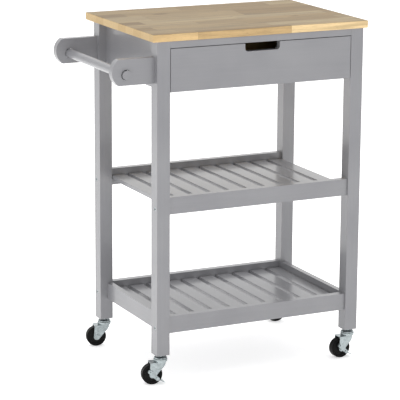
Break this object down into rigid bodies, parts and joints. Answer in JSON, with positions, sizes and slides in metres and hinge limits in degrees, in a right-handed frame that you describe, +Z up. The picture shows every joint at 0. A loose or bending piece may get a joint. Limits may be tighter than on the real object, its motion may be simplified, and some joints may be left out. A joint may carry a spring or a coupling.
{
  "type": "kitchen island cart",
  "caption": "Grey painted wooden kitchen cart on casters with a wood worktop, a drawer with a finger notch, slatted shelves and a round towel bar at the left end.",
  "frame": {"origin": "on the floor, in the middle of the cart's overall length (worktop and towel bar brackets) and of the worktop's depth", "axes": "+X along the front towards the right-hand end, +Y from the drawer front to the back, +Z up"},
  "size_m": [0.665, 0.4, 0.845],
  "materials": {
    "grey_paint": "satin grey paint on wood",
    "worktop_wood": "oiled rubberwood, edge-glued staves",
    "plywood": "clear lacquered plywood",
    "dowel_beech": "plain turned beech",
    "runner_paint": "off-white powder coat",
    "roller_plastic": "moulded white nylon",
    "wheel_plastic": "black moulded plastic",
    "zinc_steel": "bright zinc plated steel"
  },
  "bodies": {
    "cart_frame": {"worktop": "worktop_wood", "front_left_leg": "grey_paint", "front_right_leg": "grey_paint", "back_left_leg": "grey_paint", "back_right_leg": "grey_paint", "left_side_panel": "grey_paint", "right_side_panel": "grey_paint", "back_panel": "grey_paint", "front_top_rail": "grey_paint", "left_lower_rail": "grey_paint", "right_lower_rail": "grey_paint", "middle_front_rail": "grey_paint", "middle_back_rail": "grey_paint", "middle_slats": "grey_paint", "lower_front_rail": "grey_paint", "lower_back_rail": "grey_paint", "lower_slats": "grey_paint", "front_bar_bracket": "grey_paint", "back_bar_bracket": "grey_paint", "towel_bar": "grey_paint", "bar_screws": "zinc_steel", "rail_bolts": "zinc_steel", "barrel_nuts": "zinc_steel", "frame_dowels": "dowel_beech", "worktop_angles": "zinc_steel", "frame_screws": "zinc_steel", "caster_sockets": "zinc_steel", "left_cabinet_runner": "runner_paint", "right_cabinet_runner": "runner_paint", "front_left_stem": "zinc_steel", "front_right_stem": "zinc_steel", "back_left_stem": "zinc_steel", "back_right_stem": "zinc_steel"},
    "drawer": {"drawer_front": "grey_paint", "drawer_left_side": "plywood", "drawer_right_side": "plywood", "drawer_back": "plywood", "drawer_bottom": "plywood", "drawer_dowels": "dowel_beech", "drawer_screws": "zinc_steel", "left_drawer_runner": "runner_paint", "right_drawer_runner": "runner_paint"},
    "front_rollers": {"cabinet_rollers": "roller_plastic"},
    "rear_rollers": {"drawer_rollers": "roller_plastic"},
    "front_left_swivel": {"front_left_fork": "zinc_steel", "front_left_axle": "zinc_steel"},
    "front_left_roll": {"front_left_wheel": "wheel_plastic"},
    "front_right_swivel": {"front_right_fork": "zinc_steel", "front_right_axle": "zinc_steel"},
    "front_right_roll": {"front_right_wheel": "wheel_plastic"},
    "back_left_swivel": {"back_left_fork": "zinc_steel", "back_left_axle": "zinc_steel"},
    "back_left_roll": {"back_left_wheel": "wheel_plastic"},
    "back_right_swivel": {"back_right_fork": "zinc_steel", "back_right_axle": "zinc_steel"},
    "back_right_roll": {"back_right_wheel": "wheel_plastic"},
    "front_left_lever": {"front_left_brake": "zinc_steel"},
    "front_right_lever": {"front_right_brake": "zinc_steel"}
  },
  "joints": [
    {"name": "drawer_slide", "type": "slide", "parent": "cart_frame", "child": "drawer", "axis": [0, -1, 0], "range_m": [0, 0.23]},
    {"name": "front_roller_turn", "type": "hinge", "parent": "cart_frame", "child": "front_rollers", "pos_m": [0.0475, -0.169, 0.72465], "axis": [1, 0, 0], "range_deg": [-10, 1700]},
    {"name": "rear_roller_turn", "type": "hinge", "parent": "drawer", "child": "rear_rollers", "pos_m": [0.0475, 0.107, 0.72355], "axis": [1, 0, 0], "range_deg": [-10, 1900]},
    {"name": "front_left_swivel_turn", "type": "hinge", "parent": "cart_frame", "child": "front_left_swivel", "pos_m": [-0.209, -0.1805, 0.055], "axis": [0, 0, 1], "continuous": true},
    {"name": "front_left_wheel_turn", "type": "hinge", "parent": "front_left_swivel", "child": "front_left_roll", "pos_m": [-0.23067, -0.17668, 0.025], "axis": [-0.1736, -0.9848, 0], "continuous": true},
    {"name": "front_right_swivel_turn", "type": "hinge", "parent": "cart_frame", "child": "front_right_swivel", "pos_m": [0.304, -0.1805, 0.055], "axis": [0, 0, 1], "continuous": true},
    {"name": "front_right_wheel_turn", "type": "hinge", "parent": "front_right_swivel", "child": "front_right_roll", "pos_m": [0.28201, -0.18127, 0.025], "axis": [0.0349, -0.9994, 0], "continuous": true},
    {"name": "back_left_swivel_turn", "type": "hinge", "parent": "cart_frame", "child": "back_left_swivel", "pos_m": [-0.209, 0.1585, 0.055], "axis": [0, 0, 1], "continuous": true},
    {"name": "back_left_wheel_turn", "type": "hinge", "parent": "back_left_swivel", "child": "back_left_roll", "pos_m": [-0.23067, 0.16232, 0.025], "axis": [-0.1736, -0.9848, 0], "continuous": true},
    {"name": "back_right_swivel_turn", "type": "hinge", "parent": "cart_frame", "child": "back_right_swivel", "pos_m": [0.304, 0.1585, 0.055], "axis": [0, 0, 1], "continuous": true},
    {"name": "back_right_wheel_turn", "type": "hinge", "parent": "back_right_swivel", "child": "back_right_roll", "pos_m": [0.28233, 0.16232, 0.025], "axis": [-0.1736, -0.9848, 0], "continuous": true},
    {"name": "front_left_brake_turn", "type": "hinge", "parent": "front_left_swivel", "child": "front_left_lever", "pos_m": [-0.24083, -0.19113, 0.034], "axis": [0.1736, 0.9848, 0], "range_deg": [0, 6]},
    {"name": "front_right_brake_turn", "type": "hinge", "parent": "front_right_swivel", "child": "front_right_lever", "pos_m": [0.27508, -0.19752, 0.034], "axis": [-0.0349, 0.9994, 0], "range_deg": [0, 6]}
  ],
  "couplings": [
    {"joint": "front_roller_turn", "follows": "drawer_slide", "rad_per_m": 125},
    {"joint": "rear_roller_turn", "follows": "drawer_slide", "rad_per_m": 142.86}
  ]
}
